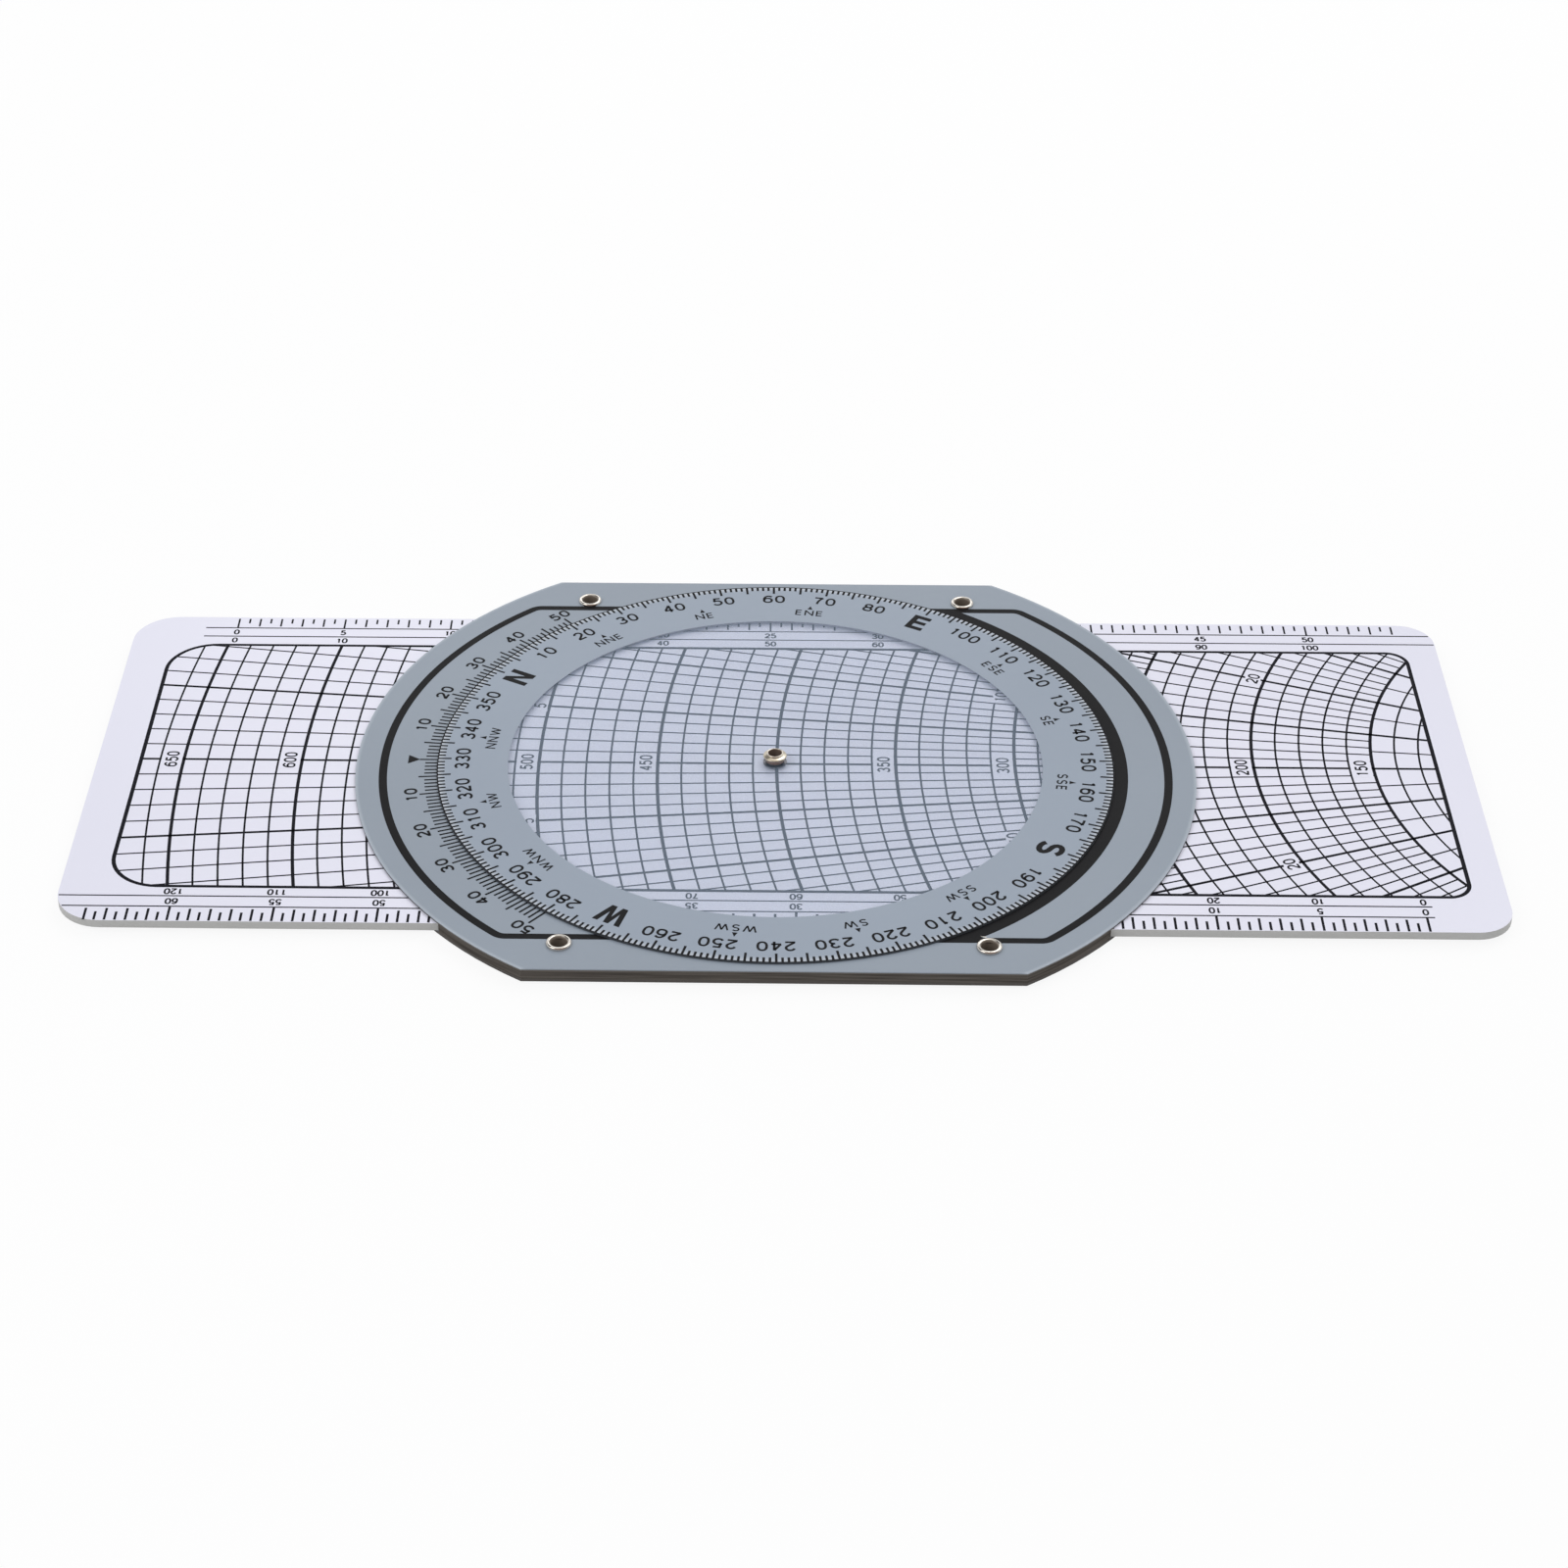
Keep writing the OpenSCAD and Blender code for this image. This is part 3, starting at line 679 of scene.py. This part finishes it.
# The faces let most of the light through, the cut edge little.
nodes, links = disc_clear.node_tree.nodes, disc_clear.node_tree.links
cover = nodes.new("ShaderNodeMapRange")
cover.inputs["To Min"].default_value = 0.16
cover.inputs["To Max"].default_value = 0.85
at_edge = next(n for n in nodes if n.bl_idname == "ShaderNodeMath" and n.operation == "LESS_THAN")
links.new(at_edge.outputs[0], cover.inputs["Value"])
links.new(cover.outputs["Result"], nodes["Principled BSDF"].inputs["Alpha"])
dress("azimuth_disc", disc_clear)
RING_SHADES = (0.268, 0.316, 0.389), (0.286, 0.337, 0.411)
ring_grey = finish("ring_grey", *RING_SHADES, blotch=16, rough=0.42, grain=700, relief=0.01)
# The cut edges of the hub ring and retainer are painted pale: painted light that weakens the shade band they
# leave inside the window.
edged(ring_grey, (0.6, 0.62, 0.72))
dress("azimuth_hub_ring", ring_grey)
dress("azimuth_retainer", ring_grey)
compass_grey = finish("compass_grey", *RING_SHADES, blotch=16, rough=0.42, grain=700, relief=0.01)
# Painted highlight towards the ring's outer edge, where the disc's rim catches the light.
paled(compass_grey, 53.7, 54.9, (0.44, 0.48, 0.54))
GROUND_R, GROUND_PEN = 49.375, 11.55
# Radii of the ring's edge, of the inner ends of its marks, and of its figures and letters.
COMPASS_R, FIFTH_R, ONE_R = 55.08, 52.9, 53.9
FIGURES_R, LETTERS_R, MARK_R, WINDS_R = 51.05, 49.95, 49.1, 46.8
COMPASS_FIGURE, WIND_FIGURE = (2.45, 1.74, 0.38, 0.38), (1.75, 1.38, 0.45, 0.26)
WINDS = ("NNE", "NE", "ENE", "ESE", "SE", "SSE", "SSW", "SW", "WSW", "WNW", "NW", "NNW")
COMPASS_INK = (DISC_TOP + 0.006, "azimuth", plate_black, "disc_clear")
laid(drawn("compass_ground", [hoop(GROUND_R)], GROUND_PEN), DISC_TOP, "azimuth", compass_grey, "disc_clear")
# A thin dark ring along the disc's edge: painted shadow of the edge.
laid(drawn("compass_edge_shadow", [hoop(COMPASS_R)], 0.2), *COMPASS_INK)


def on_compass(radius, bearing, aside=0):
    """A place on the compass ring, and a step aside from its bearing."""
    way = radians(NORTH - bearing)
    return radius * cos(way) - aside * sin(way), radius * sin(way) + aside * cos(way)


compass_ticks, compass_numbers, compass_winds, wind_marks = [], [], [], []
for bearing in range(360):
    reach = FIFTH_R if bearing % 5 == 0 else ONE_R
    compass_ticks.append([on_compass(reach, bearing), on_compass(COMPASS_R, bearing)])
    if bearing % 10 == 0 and bearing % 90:
        compass_numbers += lettered(str(bearing), *on_compass(FIGURES_R, bearing),
                                    NORTH - 90 - bearing, *COMPASS_FIGURE)
for k, name in enumerate(WINDS):
    bearing = 22.5 * (k + 1 + k // 3)
    compass_winds += lettered(name, *on_compass(WINDS_R, bearing), NORTH - 90 - bearing, *WIND_FIGURE)
    wind_marks.append([on_compass(MARK_R, bearing), on_compass(MARK_R - 1.1, bearing, 0.45),
                       on_compass(MARK_R - 1.1, bearing, -0.45)])
laid(drawn("compass_ticks", compass_ticks, 0.4), DISC_TOP + 0.007, "azimuth", plate_black, "disc_clear")
laid(drawn("compass_figures", compass_numbers, 0.42), *COMPASS_INK)
laid(drawn("compass_winds", compass_winds, 0.28), *COMPASS_INK)
laid(filled("compass_marks", wind_marks), *COMPASS_INK)

# The breadth and the outline of each heavy letter, in shares of its breadth and height.
CARDINALS = {
    0: (3.7, [(0, 0), (0, 1), (0.3, 1), (0.72, 0.35), (0.72, 1), (1, 1), (1, 0), (0.7, 0),
              (0.28, 0.65), (0.28, 0)]),
    90: (3.2, [(0, 0), (0, 1), (1, 1), (1, 0.79), (0.32, 0.79), (0.32, 0.61), (0.94, 0.61), (0.94, 0.41),
               (0.32, 0.41), (0.32, 0.21), (1, 0.21), (1, 0)]),
    270: (4.9, [(0, 1), (0.2, 1), (0.315, 0.36), (0.41, 1), (0.59, 1), (0.685, 0.36), (0.8, 1), (1, 1),
                (0.79, 0), (0.6, 0), (0.5, 0.62), (0.4, 0), (0.21, 0)]),
}
LETTER_HIGH = 4.5
SOUTH_FIGURE = (4.6, 4.1, 0, 0.95)
cardinals = []
for bearing, (wide, outline) in CARDINALS.items():
    turn = radians(NORTH - 90 - bearing)
    x, y = on_compass(LETTERS_R, bearing)
    flat = [((u - 0.5) * wide, (v - 0.5) * LETTER_HIGH) for u, v in outline]
    cardinals.append([(x + u * cos(turn) - v * sin(turn), y + u * sin(turn) + v * cos(turn))
                      for u, v in flat])
laid(filled("compass_cardinals", cardinals), *COMPASS_INK)
south = lettered("S", *on_compass(LETTERS_R, 180), NORTH - 270, *SOUTH_FIGURE)
laid(drawn("compass_south", south, SOUTH_FIGURE[3]), *COMPASS_INK)


# The grommet and the corner eyelets.
# Nickel-plated brass, rolled over in a press. The small grommet marks the reading
# point in the middle of the disc, and four larger eyelets clinch the frame.
EYELET_X, EYELET_Y = 32.607, 50.45
ACROSS = (1, 1, 0)
UPRIGHT = (0, 0, 1)
BRIGHT = {"blotch": 300, "grain": 500, "relief": 0.001, "metal": 1.0}
eyelet_nickel = finish("eyelet_nickel", (0.68, 0.64, 0.58), (0.75, 0.72, 0.66), rough=0.13, **BRIGHT)
# Painted shade in each eyelet's bore: darker, browner and not metal.
pitted(eyelet_nickel, (EYELET_X, EYELET_Y, 0), 1.38, 0.1, (0.2, 0.165, 0.135), ACROSS)
# The grommet has painted shade in its bore and on its flange under the disc, the washer painted shade on its
# neck.
grommet_nickel = finish("grommet_nickel", (0.72, 0.66, 0.56), (0.8, 0.75, 0.65), rough=0.13, **BRIGHT)
pitted(grommet_nickel, (0, 0, 2.7), 0.3, 0.1, (0.2, 0.19, 0.2), UPRIGHT)
pitted(grommet_nickel, (0, 0, 0), 1.11, 0.05, (0.17, 0.125, 0.1), ACROSS)
washer_brass = finish("washer_brass", (0.66, 0.59, 0.47), (0.76, 0.7, 0.58), rough=0.24, **BRIGHT)
pitted(washer_brass, (0, 0, 3.2), 0.74, 0.1, (0.24, 0.17, 0.15), UPRIGHT)
for side in ("far_left", "far_right", "near_left", "near_right"):
    dress("frame_eyelet_" + side, eyelet_nickel)
dress("azimuth_grommet", grommet_nickel)
dress("azimuth_grommet_washer", washer_brass)
# A small raised burr on the near right eyelet, just under its rim.
burr = filled("eyelet_burr", [[(32.35, -48.55), (31.3, -48.12), (32.1, -48.22)]])
laid(burr, 3.3, "frame", eyelet_nickel, "eyelet_nickel")


# The calculator plate.
# The back sheet of the frame, the same blue-grey plastic, printed with the fixed
# outer scale of the slide rule and with the small scales behind the disc's windows.
PLATE_UNDER = 0.55
back_grey = finish("back_grey", *PLATE_SHADES, blotch=14, rough=0.46, grain=700, relief=0.02, gloss=0.6)
edged(back_grey, (0.06, 0.052, 0.045))
dress("calculator_plate", back_grey)


def rule_marks():
    """Values and ranks of the marks of one turn of a slide rule, 10 to 100."""
    marks = []
    for tenths in range(100, 1000):
        n = tenths / 10
        step = 1 if n < 20 else 2 if n < 50 else 5
        if tenths % step == 0:
            long, middling = (10, 5) if n < 20 else (50, 10)
            marks.append((n, 2 if tenths % long == 0 else 1 if tenths % middling == 0 else 0))
    return marks


def rule_scale(foot, reaches, row, figure):
    """The marks and the figures of one turn of a slide rule, by their radii."""
    ticks, numbers = [], []
    for n, rank in rule_marks():
        way = radians(90 - 360 * log10(n / 10))
        reach = reaches[rank]
        ticks.append([(foot * cos(way), foot * sin(way)), (reach * cos(way), reach * sin(way))])
        if rank == 2:
            numbers += lettered(str(round(n)), row * cos(way), row * sin(way), degrees(way) - 90, *figure)
    return ticks, numbers


UNDER_INK = (PLATE_UNDER, "frame", plate_black, "plate_grey", True)
rule_ticks, rule_numbers = rule_scale(52.3, (53.2, 53.7, 54.3), 55.7, (1.7, 1.3, 0.3, 0.24))
rule_bows = [bow(0, 0, LINE_R, LINE_R, start, end, 80) for start, end in ((44, -44), (136, 224))]
laid(drawn("rule_outer_ticks", rule_ticks, 0.2), *UNDER_INK)
laid(drawn("rule_outer_figures", rule_numbers, 0.24), *UNDER_INK)
laid(drawn("rule_outer_line", rule_bows, 0.5), *UNDER_INK)

SMALL_SCALES = ((29, 180), (20, 120))
SMALL_FIGURE = (1.2, 0.85, 0.2, 0.18)
small_ticks, small_numbers = [hoop(radius, 120) for radius, marks in SMALL_SCALES], []
for radius, marks in SMALL_SCALES:
    row = radius - 1.2
    for k in range(marks):
        way = radians(90 - 360 * k / marks)
        reach = 1.1 if k % 5 == 0 else 0.6
        small_ticks.append([(r * cos(way), r * sin(way)) for r in (radius, radius + reach)])
        if k % 5 == 0:
            small_numbers += lettered(str(k), row * cos(way), row * sin(way), degrees(way) - 90, *SMALL_FIGURE)
laid(drawn("rule_small_ticks", small_ticks, 0.16), *UNDER_INK)
laid(drawn("rule_small_figures", small_numbers, 0.18), *UNDER_INK)


# The calculator disc.
# A satin sheet riveted at its middle, with the turning scale of the slide rule
# at its edge and three windows over the plate's small scales.
CALC_UNDER = 0.23
disc_grey = finish("disc_grey", (0.40, 0.45, 0.5), (0.43, 0.48, 0.535),
                   blotch=16, rough=0.4, grain=700, relief=0.02)
dress("calculator_disc", disc_grey)
dress("calculator_pivot_eyelet", eyelet_nickel)
dress("calculator_pivot_washer", washer_brass)
TURNING_INK = (CALC_UNDER, "calculator", plate_black, "disc_grey", True)
turn_ticks, turn_numbers = rule_scale(51.7, (50.8, 50.3, 49.7), 48.2, (1.9, 1.4, 0.3, 0.26))
laid(drawn("rule_inner_ticks", turn_ticks, 0.2), *TURNING_INK)
laid(drawn("rule_inner_figures", turn_numbers, 0.26), *TURNING_INK)
laid(drawn("rule_inner_lines", [hoop(46.2), hoop(41)], 0.3), *TURNING_INK)
